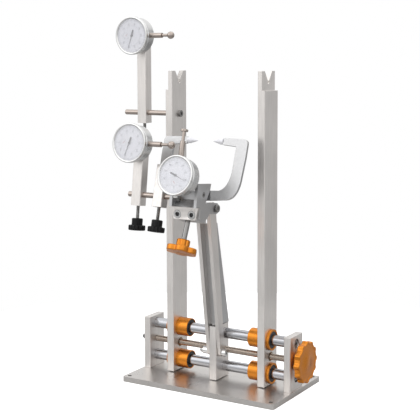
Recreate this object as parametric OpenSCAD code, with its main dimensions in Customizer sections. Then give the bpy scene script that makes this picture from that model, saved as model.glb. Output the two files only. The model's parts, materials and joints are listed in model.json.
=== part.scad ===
// Wheel truing stand: base plate, two coupled uprights on guide rods, a tilting rim caliper
// and three dial gauges. Millimetres. X runs from the left upright to the right one, Y to the
// back, Z up. The origin is the centre of the base plate's underside.

/* [Base and brackets] */
// Length of the base plate, left to right
base_w = 256; // [254:1:300]
// Depth of the base plate, front to back
base_d = 152; // [130:1:200]
// Thickness of the base plate
base_t = 8; // [7:0.5:10]
// Corner radius of the base plate
base_corner_r = 3; // [1:0.5:6]
// Distance of each bench hole's centre from the plate's edges
bench_hole_inset = 8; // [7:0.5:12]
// Diameter of the four bench holes
bench_hole_d = 6; // [4:0.5:7]
// Thickness of the two end brackets
bracket_t = 11; // [10:0.5:14]
// Distance of each bracket from the end of the base
bracket_inset = 2; // [1:0.1:3]
// Height of the end brackets above the base
bracket_h = 80; // [78:1:86]

/* [Guide rods and lead screw] */
// Diameter of the two guide rods
rod_d = 16; // [12:1:17]
// Height of the lower guide rod's centre above the table
rod_low_z = 26; // [25:0.5:27]
// Centre distance of the two guide rods
rod_gap = 50; // [49:1:51]
// Diameter of the lead screw
lead_d = 9.6; // [8:0.1:10]
// Wall of the bronze nut round the lead screw
lead_nut_wall = 2; // [1.5:0.1:2.4]
// Diameter of the width knob over its lobes
width_knob_d = 62; // [50:1:70]
// Thickness of the width knob's lobed disc
width_knob_t = 9; // [8:0.5:16]
// Length of the width knob's hub
width_knob_hub = 9.2; // [5:0.2:10]
// Number of lobes on the width knob
width_knob_lobes = 12; // [8:1:16]

/* [Uprights] */
// Clear gap between the two uprights
upright_gap = 144; // [136:1:148]
// Thickness of an upright bar
upright_t = 12; // [10:0.5:13]
// Depth of an upright bar, front to back
upright_d = 40; // [38:1:44]
// Height of the uprights' tops above the table
upright_top_z = 467; // [420:1:480]
// Gap under the sliding pieces
floor_gap = 1.2; // [1:0.1:2]
// Thickness left at the relieved dropout
dropout_t = 7; // [5:0.5:8]
// Height of the relieved dropout
dropout_h = 28; // [22:1:40]
// Width of the V at the top of the dropout
vee_w = 22; // [16:1:26]
// Depth of the V
vee_h = 16; // [12:1:20]
// Diameter of the relief hole at the bottom of the V
vee_hole_d = 5; // [3:0.5:6]
// Outer diameter of a bearing housing
housing_d = 28; // [27:0.5:29]
// Outer diameter of a bearing housing's flange
housing_flange_d = 31; // [29.5:0.5:32]
// Length of a bearing housing on the inner side of its upright
housing_in = 19.5; // [18:0.5:22]
// Thickness of a bearing housing's flange on the outer side of its upright
housing_out = 4; // [2:0.5:5]
// Outer diameter of a linear bearing
bearing_d = 25; // [23:0.5:26]
// Length of a linear bearing
bearing_l = 34; // [30:1:35]

/* [Pillar and arms] */
// Width of the centre pillar
pillar_w = 12; // [10:0.5:13]
// Depth of the centre pillar
pillar_d = 38; // [36:1:42]
// Distance of the pillar's front face in front of the rods' centre
pillar_front = 25; // [24:0.5:26]
// Height of the pillar's top above the table
pillar_top_z = 90; // [89:1:94]
// Height of the spine between the arms
spine_h = 155; // [120:1:160]
// Depth of the spine at its foot
spine_foot_d = 33; // [32:0.5:35]
// Depth of the spine at its top
spine_top_d = 17; // [16:0.5:20]
// Forward shift of the spine's back edge from foot to top
spine_lean = 34; // [28:1:35]
// Height of the arms' lower pivot above the table
pivot_low_z = 50; // [49.5:0.5:51]
// Distance of the lower pivot in front of the rods' centre
pivot_low_y = 15.5; // [15:0.5:17]
// Rise of the arms from the lower to the upper pivot
arm_rise = 220; // [200:1:230]
// Forward shift of the arms from the lower to the upper pivot
arm_lean = 28.5; // [26:0.5:32]
// Thickness of each arm
arm_t = 5.6; // [4:0.1:5.8]
// Depth of an arm at its foot
arm_foot_d = 12; // [11:0.5:13]
// Depth of an arm at its head
arm_head_d = 18; // [15:0.5:19]
// Diameter of the two pivot bolts
pivot_bolt_d = 6; // [5:0.5:6.5]

/* [Caliper head] */
// Width of the head block
block_w = 36; // [35.5:0.1:38]
// Thickness of the side ears
ear_t = 4.5; // [3:0.5:5.5]
// Thickness of the front plate
front_plate_t = 4.5; // [3.5:0.5:5.5]
// Width of the front plate at its top
front_plate_top_w = 45; // [42:1:52]
// Width of the front plate at its bottom
front_plate_low_w = 36; // [35:1:42]
// Diameter of the finger screw
finger_screw_d = 7.5; // [6:0.5:9]
// Length of the finger screw between the head and the star knob
finger_screw_out = 29.5; // [24:0.5:34]
// Diameter of the star knob over its lobes
star_d = 46; // [40:1:52]
// Thickness of the star knob's disc
star_t = 8; // [6:0.5:12]
// Number of lobes on the star knob
star_lobes = 6; // [5:1:8]
// Half the outer width across both fingers
finger_out = 70; // [62:0.5:71]
// Width of a finger's leg
finger_w = 17.5; // [13:0.5:18]
// Height of a finger above its pivot, along its plate
finger_h = 85; // [75:0.5:88]
// Height of a finger's top bar
finger_bar = 9.8; // [8:0.2:12]
// Height of a finger's root
finger_root = 14.4; // [12:0.2:15]
// Thickness of a finger
finger_t = 4.6; // [3.6:0.2:5]
// Gap between the two pointed tips
tip_gap = 26; // [20:1:34]
// Diameter of a tip
tip_d = 8.8; // [7:0.2:9]

/* [Gauges] */
// Diameter of the two gauge rods
gauge_rod_d = 8; // [6:0.5:9]
// Side of the square gauge bars
bar_w = 16; // [15:0.5:17]
// Outer diameter of a gauge's bezel
bezel_d = 57; // [52:1:59]
// Diameter of a gauge's stem
stem_d = 7.6; // [6:0.2:8]
// Diameter of a gauge's plunger
plunger_d = 4.5; // [3:0.5:5]
// Travel of a gauge's plunger
plunger_travel = 8; // [5:1:10]
// Backward lean of the lateral gauge's bar, in degrees
side_lean = 7.3; // [5:0.1:9]
// Backward lean of the radial gauge's bar, in degrees
radial_lean = 14.6; // [12:0.1:16]
// Diameter of a clamp knob over its flutes
clamp_knob_d = 25; // [22:0.5:29]

/* [Hidden] */
$fn = 48;
// Overrun of every cut
over = 1;
// Seat clearance between pieces that don't move, per side
seat = 0.05;
// Running clearance of rods, pins and bores, per side
run = 0.08;
// Side clearance between flat faces that swing past each other
side_gap = 0.3;
full_turn = 360;
right_angle = 90;
half = 0.5;

// Base and brackets
bracket_x = base_w * half - bracket_inset - bracket_t;
bracket_out_x = bracket_x + bracket_t;
bracket_mid_x = bracket_x + bracket_t * half;
bracket_bevel = 1;
rod_top_z = rod_low_z + rod_gap;
lead_z = rod_low_z + rod_gap * half;
frame_screw_d = 5;
frame_screw_l = 18;
frame_screw_head_d = 9;
frame_screw_head_h = 2.8;
screw_place_share = 0.25;
frame_screw_y = upright_d * screw_place_share;
rod_screw_d = 6;
rod_screw_l = 16;
rod_screw_head_d = 10;
rod_screw_head_h = 5;
counterbore_d = 14;
counterbore_h = 6;
rod_end_wall = 2;
rod_half = bracket_out_x - counterbore_h - rod_end_wall - seat;
socket_share = 0.5;

// Sliding pieces
slide_z = base_t + floor_gap;
upright_x = upright_gap * half;
upright_out_x = upright_x + upright_t;
upright_bevel = 0.8;
vee_z = upright_top_z - vee_h;
nut_d = lead_d + 2 * lead_nut_wall;
cap_nut_d = 16;
cap_nut_h = 8;
cap_nut_dome = 7;
cap_foot_share = 0.84;
cap_top_share = 0.3;
gauge_rod_drop = 64.4;
gauge_rod_z = upright_top_z - gauge_rod_drop;
button_head_d = 10;
button_head_h = 3.5;
gauge_rod_screw_d = 5;
gauge_rod_seat = 5;
knob_hub_share = 0.4;
lobe_share = 0.25;
lobe_core_share = 0.7;

// Pillar and arms
arm_in_x = pillar_w * half + side_gap;
arm_out_x = arm_in_x + arm_t;
pivot_low = [-pivot_low_y, pivot_low_z];
pivot_high = pivot_low + [-arm_lean, arm_rise];
bolt_head_d = 11;
bolt_head_h = 6;
low_bolt_head_h = 3;
dome_nut_h = 8;
dome_h = 6;
spine_w = 2 * arm_in_x - 2 * seat;
spine_back_y = pillar_d - pillar_front;
spine_foot_z = pillar_top_z + side_gap;
spine_foot_rise = 1.8;
dowel_d = 3;
dowel_in = 3;
dowel_from_edge = 2.7;
dowel_shares = [0.045, 0.94];

// Caliper head. Places on it are shares of head_out in front of its pivot and of head_up above
// it. The plane of the fingers' front faces leans back by finger_lean through their pivots.
head_out = 50;
head_up = 40;
block_foot_share = [1.07, -0.225];
block_edge_share = [1.07, 0.2];
step_share = [0.91, 0.4425];
block_top_share = [0, 0.75];
shelf_share = [0.36, 0.275];
tail_share = [0.36, -0.125];
heel_share = [0.68, -0.425];
ear_front_shares = [[1.064, -0.2], [1.064, 0.21], [1.25, 0.22], [1.14, 1.05]];
ear_top_share = [0, 0.9625];
ear_back_share = [0, 0.725];
right_ear_screw_share = [0.84, 0.625];
left_ear_screw_share = [0.96, 0.175];
plate_foot_share = [1.07, -0.2375];
plate_screw_share = [1.07, -0.0625];
finger_screw_share = [0.95, -0.2775];
rod_hold_share = [0.92, 0.475];
finger_pivot_share = [0.536, 0.55];
function on_head(share) = pivot_high + [-head_out * share[0], head_up * share[1]];
finger_lean = 18.8;
finger_pivot_x = 14;
finger_pivot = on_head(finger_pivot_share);
cheek_in_x = arm_out_x + side_gap;
cheek_r = 8;
ear_x = block_w * half;
ear_out_x = ear_x + ear_t;
block_foot = on_head(block_foot_share);
block_edge = on_head(block_edge_share);
block_front_y = block_foot[0];
step = on_head(step_share);
block_top_z = on_head(block_top_share)[1];
shelf = on_head(shelf_share);
tail = on_head(tail_share);
ear_top_z = on_head(ear_top_share)[1];
ear_back_z = on_head(ear_back_share)[1];
ear_screw_d = 4;
ear_screw_l = 10;
ear_screw_head_d = 8;
ear_screw_head_h = 2.2;
plate_screw_x = 11.6;
plate_screw_z = on_head(plate_screw_share)[1];
plate_screw_d = 6;
plate_screw_l = 14;
plate_screw_head_d = 12.5;
plate_screw_head_h = 3.2;
plate_low_z = on_head(plate_foot_share)[1];
finger_screw_at = on_head(finger_screw_share);
finger_screw_tilt = 23.6;
finger_screw_in = 15;
star_hub_d = 20;
star_hub_h = 11;
star_core_share = 0.62;
star_bore_share = 0.8;
star_lobe_share = 0.2;
pivot_screw_d = 4;
pivot_screw_head_d = 9;
pivot_screw_head_h = 2.6;
pivot_screw_in = 8;
finger_in = finger_out - finger_w;
finger_round = 8;
finger_corner_drop = 2;
bend_steps = 8;
finger_heel_shares = [[0.7125, -0.0466], [0.935, -0.0212], [0.975, 0.27]];
finger_side_shares = [[1, 0.66], [1, 0.75]];
finger_inner_shares = [[0.99, 0.42], [0.95, 0.1447], [0.6857, 0.0974]];
finger_edge_share = 0.994;
tip_end_x = tip_gap * half;
finger_end_x = 30;
tip_barrel = 5;
tip_stub_d = 2.6;
tip_stub_l = 6;
tip_point_d = 1;
square_nut_w = 9.5;
square_nut_h = 5;
rod_end_d = 6;
rod_hold = on_head(rod_hold_share);

// Gauges and their bars
low_rod_l = 79.5;
low_rod_x = ear_out_x + low_rod_l;
high_rod_l = 86;
high_rod_x = upright_out_x + high_rod_l;
hub_bar_out = 51.5;
hub_bar_x = -upright_out_x - hub_bar_out;
hub_bar_up = 125.4;
bar_down = 16;
side_bar_out = 62.5;
side_bar_x = -ear_out_x - side_bar_out;
side_bar_up = 80;
radial_bar_out = 24.9;
radial_bar_x = -ear_out_x - radial_bar_out;
radial_bar_up = 45;
link_t = 10;
link_low = 27;
link_h = 13;
link_end_x = 6;
link_start_x = 0.5;
hub_dial_up = 116.7;
side_dial_up = 73.2;
radial_dial_up = 26.3;
case_share = 0.93;
face_to_bar = 24.5;
lug_t = 4;
lug_w = 12;
lug_low = 6;
lug_high = 14;
bezel_t = 7;
bezel_lip = 2.5;
face_share = 0.88;
dial_t = 1;
needle_gap = 0.5;
stem_end = 49.5;
stem_back = 8;
anvil_d = 11;
anvil_t = 3;
plunger_guide = 6;
plunger_in = plunger_travel + plunger_guide;
cap_d = 6.5;
cap_l = 4;
needle_share = 0.36;
needle_tail_share = 0.15;
needle_w = 1;
needle_tail_w = 2.4;
needle_spindle_d = 3.2;
needle_t = 0.5;
needle_hub_d = 4;
clamp_stud_d = 5;
clamp_hub_d = 16;
clamp_hub_h = 10;
clamp_flange_h = 7.5;
clamp_hub_drop = 34.5;
clamp_flutes = 14;
hub_out = 20.6;
side_out = 22.4;
radial_out = 16.5;
hub_needle = 252;
side_needle = 250;
radial_needle = -23;
up_turn = 90;

metal = [0.8, 0.8, 0.79];
dark_metal = [0.55, 0.55, 0.56];
steel = [0.66, 0.66, 0.68];
orange = [0.86, 0.46, 0.1];
black = [0.1, 0.1, 0.1];
white = [0.93, 0.93, 0.95];
bronze = [0.7, 0.55, 0.35];

// A round bar along X between two places
module bar_x(x0, x1, d, y = 0, z = 0) {
    translate([min(x0, x1), y, z]) rotate([0, right_angle, 0]) cylinder(h = abs(x1 - x0), d = d);
}

// A plate of thickness t from x0 on, whose outline is drawn in Y and Z
module plate_x(x0, t) {
    translate([x0, 0, 0]) rotate([right_angle, 0, right_angle]) linear_extrude(t) children();
}

// A rectangular outline with chamfered corners
module bevelled(w, d, b) {
    x = w * half;
    y = d * half;
    polygon([[-x + b, -y], [x - b, -y], [x, -y + b], [x, y - b],
        [x - b, y], [-x + b, y], [-x, y - b], [-x, -y + b]]);
}

// A screw with a socket: its head lies below z = 0, its shank points upwards
module cap_screw(d, l, head_d, head_h) {
    difference() {
        union() {
            cylinder(h = l, d = d);
            translate([0, 0, -head_h]) cylinder(h = head_h, d = head_d);
        }
        translate([0, 0, -head_h - over])
            cylinder(h = head_h * socket_share + over, d = head_d * socket_share, $fn = 6);
    }
}

// A countersunk screw: its flat face lies on z = 0, its shank points upwards
module flat_screw(d, l, head_d, head_h) {
    difference() {
        union() {
            cylinder(h = l, d = d);
            cylinder(h = head_h, d1 = head_d, d2 = d);
        }
        translate([0, 0, -over])
            cylinder(h = head_h * socket_share + over, d = head_d * socket_share, $fn = 6);
    }
}

// The hole for a countersunk screw
module flat_hole(d, l, head_d, head_h) {
    cylinder(h = l, d = d + 2 * seat);
    cylinder(h = head_h, d1 = head_d + 4 * seat, d2 = d + 4 * seat);
    translate([0, 0, -over]) cylinder(h = over + seat, d = head_d + 4 * seat);
}

// The places of the four screws that hold the brackets to the base
module at_bracket_screws() {
    for (s = [-1, 1], y = [-frame_screw_y, frame_screw_y])
        translate([s * bracket_mid_x, y, seat]) children();
}

// The places of the four screws in the ends of the guide rods, pointing inwards
module at_rod_screws() {
    for (s = [-1, 1], z = [rod_low_z, rod_top_z])
        translate([s * (bracket_out_x - counterbore_h + seat), 0, z])
            rotate([0, -s * right_angle, 0]) children();
}

module base_plate() {
    hole_x = base_w * half - bench_hole_inset;
    hole_y = base_d * half - bench_hole_inset;
    color(metal) difference() {
        linear_extrude(base_t) hull() for (sx = [-1, 1], sy = [-1, 1])
            translate([sx * (base_w * half - base_corner_r), sy * (base_d * half - base_corner_r)])
                circle(base_corner_r, $fn = 32);
        for (sx = [-1, 1], sy = [-1, 1])
            translate([sx * hole_x, sy * hole_y, -over]) cylinder(h = base_t + 2 * over, d = bench_hole_d);
        at_bracket_screws()
            flat_hole(frame_screw_d, base_t + over, frame_screw_head_d, frame_screw_head_h);
    }
}

// The end bracket on side s: seats the guide rods' ends and carries the lead screw
module end_bracket(s) {
    color(metal) difference() {
        translate([s * bracket_mid_x, 0, base_t]) linear_extrude(bracket_h)
            bevelled(bracket_t, upright_d, bracket_bevel);
        for (z = [rod_low_z, rod_top_z]) {
            bar_x(s * (bracket_x - over), s * (rod_half + seat), rod_d + 2 * seat, 0, z);
            bar_x(s * bracket_x, s * (bracket_out_x + over), rod_screw_d + 2 * seat, 0, z);
            bar_x(s * (bracket_out_x - counterbore_h), s * (bracket_out_x + over), counterbore_d, 0, z);
        }
        bar_x(s * (bracket_x - over), s * (bracket_out_x + over), lead_d + 2 * run, 0, lead_z);
        at_bracket_screws() cylinder(h = frame_screw_l + over, d = frame_screw_d + 2 * seat);
    }
}

module bracket_screws() {
    color(steel) at_bracket_screws()
        flat_screw(frame_screw_d, frame_screw_l, frame_screw_head_d, frame_screw_head_h);
}

// A guide rod at height z, drilled at both ends
module guide_rod(z) {
    color(steel) difference() {
        bar_x(-rod_half, rod_half, rod_d, 0, z);
        for (s = [-1, 1])
            bar_x(s * (rod_half - rod_screw_l), s * (rod_half + over), rod_screw_d + 2 * seat, 0, z);
    }
}

module rod_end_screws() {
    color(steel) at_rod_screws() cap_screw(rod_screw_d, rod_screw_l, rod_screw_head_d, rod_screw_head_h);
}

// The upright on side s: a bar with a relieved dropout and bores for its bearings and lead nut
module upright(s) {
    x0 = s * (upright_x - over);
    x1 = s * (upright_out_x + over);
    vee_over = vee_w * half * (vee_h + over) / vee_h;
    relief = [upright_t, upright_d + 2 * over, dropout_h + 2 * over];
    relief_x = s * (upright_x + dropout_t + upright_t * half);
    color(metal) difference() {
        translate([s * (upright_x + upright_t * half), 0, slide_z]) linear_extrude(upright_top_z - slide_z)
            bevelled(upright_t, upright_d, upright_bevel);
        plate_x(min(x0, x1), upright_t + 2 * over) polygon([[0, vee_z],
            [vee_over, upright_top_z + over], [-vee_over, upright_top_z + over]]);
        bar_x(x0, x1, vee_hole_d, 0, vee_z);
        translate([relief_x, 0, upright_top_z - dropout_h * half + over]) cube(relief, center = true);
        for (z = [rod_low_z, rod_top_z])
            bar_x(x0, x1, housing_d + 2 * seat, 0, z);
        bar_x(x0, x1, nut_d + 2 * seat, 0, lead_z);
        if (s < 0) {
            bar_x(x1, -upright_out_x + gauge_rod_seat, gauge_rod_d + 2 * seat, 0, gauge_rod_z);
            bar_x(x0, -upright_out_x, gauge_rod_screw_d + 2 * seat, 0, gauge_rod_z);
        }
    }
}

module bearing_housings(s) {
    x0 = upright_x - housing_in;
    x1 = upright_out_x + housing_out;
    color(orange) for (z = [rod_low_z, rod_top_z]) difference() {
        union() {
            bar_x(s * x0, s * x1, housing_d, 0, z);
            bar_x(s * (upright_out_x + seat), s * x1, housing_flange_d, 0, z);
        }
        bar_x(s * (x0 - over), s * (x1 + over), bearing_d + 2 * seat, 0, z);
    }
}

module linear_bearings(s) {
    mid = upright_x + (upright_t + housing_out - housing_in) * half;
    color(black) for (z = [rod_low_z, rod_top_z]) difference() {
        bar_x(s * (mid - bearing_l * half), s * (mid + bearing_l * half), bearing_d, 0, z);
        bar_x(s * (mid - bearing_l), s * (mid + bearing_l), rod_d + 2 * run, 0, z);
    }
}

// The bronze nut in the upright on side s
module lead_nut(s) {
    color(bronze) difference() {
        bar_x(s * upright_x, s * upright_out_x, nut_d, 0, lead_z);
        bar_x(s * (upright_x - over), s * (upright_out_x + over), lead_d + 2 * run, 0, lead_z);
    }
}

module centre_pillar() {
    color(metal) difference() {
        translate([0, pillar_d * half - pillar_front, slide_z]) linear_extrude(pillar_top_z - slide_z)
            bevelled(pillar_w, pillar_d, upright_bevel);
        for (z = [rod_low_z, rod_top_z])
            bar_x(-pillar_w, pillar_w, rod_d + 2 * seat, 0, z);
        bar_x(-pillar_w, pillar_w, lead_d + 2 * side_gap, 0, lead_z);
        bar_x(-pillar_w, pillar_w, pivot_bolt_d + 2 * seat, pivot_low[0], pivot_low[1]);
    }
}

// The places of the two dowels that pass through the spine into both arms
module at_dowels() {
    for (dowel_share = dowel_shares) {
        z = spine_foot_z + spine_h * dowel_share;
        share = (z - pivot_low[1]) / arm_rise;
        arm_back = (arm_foot_d + (arm_head_d - arm_foot_d) * share) * half;
        translate([0, pivot_low[0] - arm_lean * share + arm_back - dowel_from_edge, z]) children();
    }
}

// The tapered spine between the arms with its two dowels. Its foot rests over the pillar.
module arm_spine() {
    back_top = spine_back_y - spine_lean;
    top_z = spine_foot_z + spine_h;
    front_foot = [spine_back_y - spine_foot_d, spine_foot_z + spine_foot_rise];
    color(dark_metal) union() {
        plate_x(-spine_w * half, spine_w) polygon([front_foot, [spine_back_y, spine_foot_z],
            [back_top, top_z], [back_top - spine_top_d, top_z]]);
        at_dowels() bar_x(-arm_in_x - dowel_in, arm_in_x + dowel_in, dowel_d);
    }
}

// The arm on side s: a tapered bar with round ends
module arm(s) {
    x0 = s * (arm_in_x - over);
    x1 = s * (arm_out_x + over);
    color(metal) difference() {
        plate_x(min(s * arm_in_x, s * arm_out_x), arm_t) hull() {
            translate(pivot_low) circle(d = arm_foot_d, $fn = 32);
            translate(pivot_high) circle(d = arm_head_d, $fn = 32);
        }
        bar_x(x0, x1, pivot_bolt_d + 2 * run, pivot_low[0], pivot_low[1]);
        bar_x(x0, x1, pivot_bolt_d + 2 * seat, pivot_high[0], pivot_high[1]);
        at_dowels() bar_x(x0, s * (arm_in_x + dowel_in + seat), dowel_d + 2 * seat);
    }
}

// A pivot bolt across the machine at p: its head starts at x = x1, its dome nut at x = -x1
module pivot_bolt(p, x1, head_h) {
    color(steel) union() {
        translate([x1, p[0], p[1]]) rotate([0, -right_angle, 0])
            cap_screw(pivot_bolt_d, 2 * x1 + over, bolt_head_d, head_h);
        bar_x(-x1 - dome_nut_h, -x1, bolt_head_d, p[0], p[1]);
        translate([-x1 - dome_nut_h, p[0], p[1]]) rotate([0, -right_angle, 0])
            cylinder(h = dome_h, d1 = bolt_head_d, d2 = bolt_head_d * socket_share);
    }
}

module foot_bolt() {
    pivot_bolt(pivot_low, arm_out_x + side_gap, bolt_head_h);
}

module head_bolt() {
    pivot_bolt(pivot_high, ear_x + side_gap, low_bolt_head_h);
}

module lead_screw() {
    color(bronze) bar_x(-bracket_out_x - cap_nut_h, bracket_out_x + width_knob_hub, lead_d, 0, lead_z);
}

// A disc outline with round lobes: a core circle and a ring of small circles
module lobed(d, n) {
    lobe_r = d * PI / n * lobe_share;
    circle(d * half - lobe_r * lobe_core_share);
    for (i = [0 : n - 1])
        rotate(i * full_turn / n) translate([d * half - lobe_r, 0]) circle(lobe_r, $fn = 24);
}

module width_knob() {
    x0 = bracket_out_x + side_gap;
    color(orange) difference() {
        union() {
            bar_x(x0, x0 + width_knob_hub + over, width_knob_d * knob_hub_share, 0, lead_z);
            plate_x(x0 + width_knob_hub, width_knob_t) translate([0, lead_z])
                lobed(width_knob_d, width_knob_lobes);
        }
        bar_x(x0 - over, bracket_out_x + width_knob_hub + seat, lead_d + 2 * seat, 0, lead_z);
    }
}

module lead_screw_cap_nut() {
    x0 = bracket_out_x + side_gap;
    color(dark_metal) difference() {
        union() {
            translate([-x0 - cap_nut_h, 0, lead_z]) rotate([0, right_angle, 0])
                cylinder(h = cap_nut_h, d = cap_nut_d, $fn = 6);
            translate([-x0 - cap_nut_h, 0, lead_z]) rotate([0, -right_angle, 0])
                cylinder(h = cap_nut_dome, d1 = cap_nut_d * cap_foot_share, d2 = cap_nut_d * cap_top_share);
        }
        bar_x(-x0 + over, -bracket_out_x - cap_nut_h - seat, lead_d + 2 * seat, 0, lead_z);
    }
}

module upper_gauge_rod() {
    x0 = -upright_out_x + gauge_rod_seat - seat;
    color(steel) difference() {
        bar_x(x0, -high_rod_x, gauge_rod_d, 0, gauge_rod_z);
        bar_x(x0 + over, x0 - gauge_rod_d, gauge_rod_screw_d + 2 * seat, 0, gauge_rod_z);
    }
}

module gauge_rod_screw() {
    color(steel) translate([-upright_x + seat, 0, gauge_rod_z]) rotate([0, -right_angle, 0])
        cap_screw(gauge_rod_screw_d, upright_t, button_head_d, button_head_h);
}

// The Y of the plane in front of the fingers at height z, with a side gap
function back_y(z) =
    finger_pivot[0] + (z - finger_pivot[1]) * tan(finger_lean) - side_gap / cos(finger_lean);

// Carries its children to the finger screw: z = 0 lies on the block's underside, +z goes up into it
module at_finger_screw() {
    translate([0, finger_screw_at[0], finger_screw_at[1]]) rotate([-finger_screw_tilt, 0, 0]) children();
}

// Carries its children to a finger's plane: X across, Y up along the plate, Z out of its front
module at_fingers() {
    translate([0, finger_pivot[0], finger_pivot[1]]) rotate([right_angle - finger_lean, 0, 0]) children();
}

module head_block() {
    nut_room = square_nut_w + 2 * side_gap;
    color(metal) difference() {
        union() {
            plate_x(-ear_x, block_w) polygon([block_foot, block_edge, step, [step[0] + seat, block_top_z],
                [back_y(block_top_z), block_top_z], [back_y(shelf[1]), shelf[1]], shelf, tail,
                on_head(heel_share)]);
            for (s = [-1, 1])
                plate_x(min(s * cheek_in_x, s * ear_x), ear_x - cheek_in_x) hull() {
                    translate(pivot_high) circle(cheek_r, $fn = 32);
                    translate(tail - [over, 0]) square([over, shelf[1] - tail[1]]);
                }
        }
        bar_x(-ear_x - over, ear_x + over, pivot_bolt_d + 2 * run, pivot_high[0], pivot_high[1]);
        for (s = [-1, 1]) {
            at_ear_screw(s) cylinder(h = ear_screw_l + over, d = ear_screw_d + 2 * seat);
            translate([s * plate_screw_x, block_front_y - over, plate_screw_z]) rotate([-right_angle, 0, 0])
                cylinder(h = plate_screw_l + over, d = plate_screw_d + 2 * seat);
            at_fingers() translate([s * finger_pivot_x, 0, -side_gap])
                cylinder(h = pivot_screw_in + 2 * side_gap, d = pivot_screw_d + 2 * seat);
        }
        translate([-ear_x - over, rod_hold[0] - nut_room * half, rod_hold[1] - nut_room * half])
            cube([square_nut_h + over + side_gap, nut_room, nut_room]);
        at_finger_screw() translate([0, 0, -finger_screw_in])
            cylinder(h = 2 * finger_screw_in + over, d = finger_screw_d + 2 * run);
    }
}

// Places of the two screws in the front plate, pointing backwards from its front face
module at_plate_screws() {
    for (s = [-1, 1])
        translate([s * plate_screw_x, block_front_y - front_plate_t, plate_screw_z])
            rotate([-right_angle, 0, 0]) children();
}

module head_front_plate() {
    low = front_plate_low_w * half;
    top = front_plate_top_w * half;
    color(metal) difference() {
        translate([0, block_front_y, 0]) rotate([right_angle, 0, 0]) linear_extrude(front_plate_t)
            polygon([[-low, plate_low_z], [low, plate_low_z], [top, block_edge[1]], [-top, block_edge[1]]]);
        at_plate_screws()
            flat_hole(plate_screw_d, front_plate_t + over, plate_screw_head_d, plate_screw_head_h);
    }
}

module front_plate_screws() {
    color(steel) at_plate_screws() translate([0, 0, seat])
        flat_screw(plate_screw_d, plate_screw_l, plate_screw_head_d, plate_screw_head_h);
}

// The ear on side s
module ear(s) {
    color(metal) difference() {
        plate_x(min(s * ear_x, s * ear_out_x), ear_t)
            polygon(concat([for (share = ear_front_shares) on_head(share)],
                [[back_y(ear_top_z), ear_top_z], [back_y(ear_back_z), ear_back_z]]));
        at_ear_screw(s) flat_hole(ear_screw_d, ear_t + over, ear_screw_head_d, ear_screw_head_h);
        if (s < 0)
            bar_x(-ear_out_x - over, -ear_x + over, gauge_rod_d + 2 * seat, rod_hold[0], rod_hold[1]);
    }
}

// The place of the screw in the ear on side s, pointing inwards from its outer face
module at_ear_screw(s) {
    at = on_head(s > 0 ? right_ear_screw_share : left_ear_screw_share);
    translate([s * ear_out_x, at[0], at[1]]) rotate([0, -s * right_angle, 0]) children();
}

module ear_screws() {
    color(steel) for (s = [-1, 1]) at_ear_screw(s) translate([0, 0, seat])
        flat_screw(ear_screw_d, ear_screw_l, ear_screw_head_d, ear_screw_head_h);
}

module finger_pivot_screws() {
    length = finger_t + side_gap + pivot_screw_in;
    color(steel) at_fingers() for (s = [-1, 1])
        translate([s * finger_pivot_x, 0, -finger_t - side_gap])
            cap_screw(pivot_screw_d, length, pivot_screw_head_d, pivot_screw_head_h);
}

module lower_gauge_rod() {
    color(steel) union() {
        bar_x(-low_rod_x, -ear_x, gauge_rod_d, rod_hold[0], rod_hold[1]);
        bar_x(-low_rod_x, -ear_x + square_nut_h, rod_end_d, rod_hold[0], rod_hold[1]);
    }
}

module gauge_rod_nut() {
    color(steel) difference() {
        translate([-ear_x + seat, rod_hold[0] - square_nut_w * half, rod_hold[1] - square_nut_w * half])
            cube([square_nut_h - seat, square_nut_w, square_nut_w]);
        bar_x(-ear_x - over, -ear_x + square_nut_h + over, rod_end_d + 2 * seat, rod_hold[0], rod_hold[1]);
    }
}

// Points of a bend from p[0] to p[2] with p[1] as its corner
function bend(p) = [for (i = [0 : bend_steps]) let (t = i / bend_steps)
    p[0] * (1 - t) * (1 - t) + p[1] * 2 * t * (1 - t) + p[2] * t * t];

// Points at shares of the width w and of a finger's height
function on_finger(w, shares) = [for (share = shares) [w * share[0], finger_h * share[1]]];

// The right finger's outline, its pivot at finger_pivot_x, 0: it runs out from the pivot, turns up
// through the heel's bend and back in along the top bar
module finger_outline() {
    r = finger_root * half;
    edge_y = finger_h * finger_edge_share;
    shoulder = [finger_out, finger_h - finger_round];
    union() {
        translate([finger_pivot_x, 0]) circle(r);
        polygon(concat([[finger_pivot_x, r], [finger_pivot_x, -r]],
            bend(on_finger(finger_out, finger_heel_shares)),
            bend(concat(on_finger(finger_out, finger_side_shares), [shoulder])),
            bend([shoulder, [finger_out, edge_y], [finger_out - finger_round, edge_y]]),
            [[finger_end_x, finger_h], [finger_end_x, finger_h - finger_bar],
                [finger_in, finger_h - finger_bar - finger_corner_drop]],
            bend(on_finger(finger_in, finger_inner_shares))));
    }
}

module right_finger_plate() {
    difference() {
        translate([0, 0, -finger_t]) linear_extrude(finger_t) finger_outline();
        translate([finger_pivot_x, 0, -finger_t - over])
            cylinder(h = finger_t + 2 * over, d = pivot_screw_d + 2 * run);
        translate([finger_end_x - over, finger_h - finger_bar * half, -finger_t * half])
            rotate([0, right_angle, 0]) cylinder(h = tip_stub_l + 2 * over, d = tip_stub_d + 2 * seat);
    }
}

module right_tip() {
    translate([finger_end_x, finger_h - finger_bar * half, -finger_t * half]) rotate([0, -right_angle, 0])
        union() {
            translate([0, 0, -tip_stub_l]) cylinder(h = tip_stub_l + over, d = tip_stub_d);
            cylinder(h = tip_barrel, d = tip_d);
            translate([0, 0, tip_barrel])
                cylinder(h = finger_end_x - tip_end_x - tip_barrel, d1 = tip_d, d2 = tip_point_d);
        }
}

module right_finger() {
    color(dark_metal) at_fingers() right_finger_plate();
}

module left_finger() {
    color(dark_metal) mirror([1, 0, 0]) at_fingers() right_finger_plate();
}

module right_finger_tip() {
    color(white) at_fingers() right_tip();
}

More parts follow.
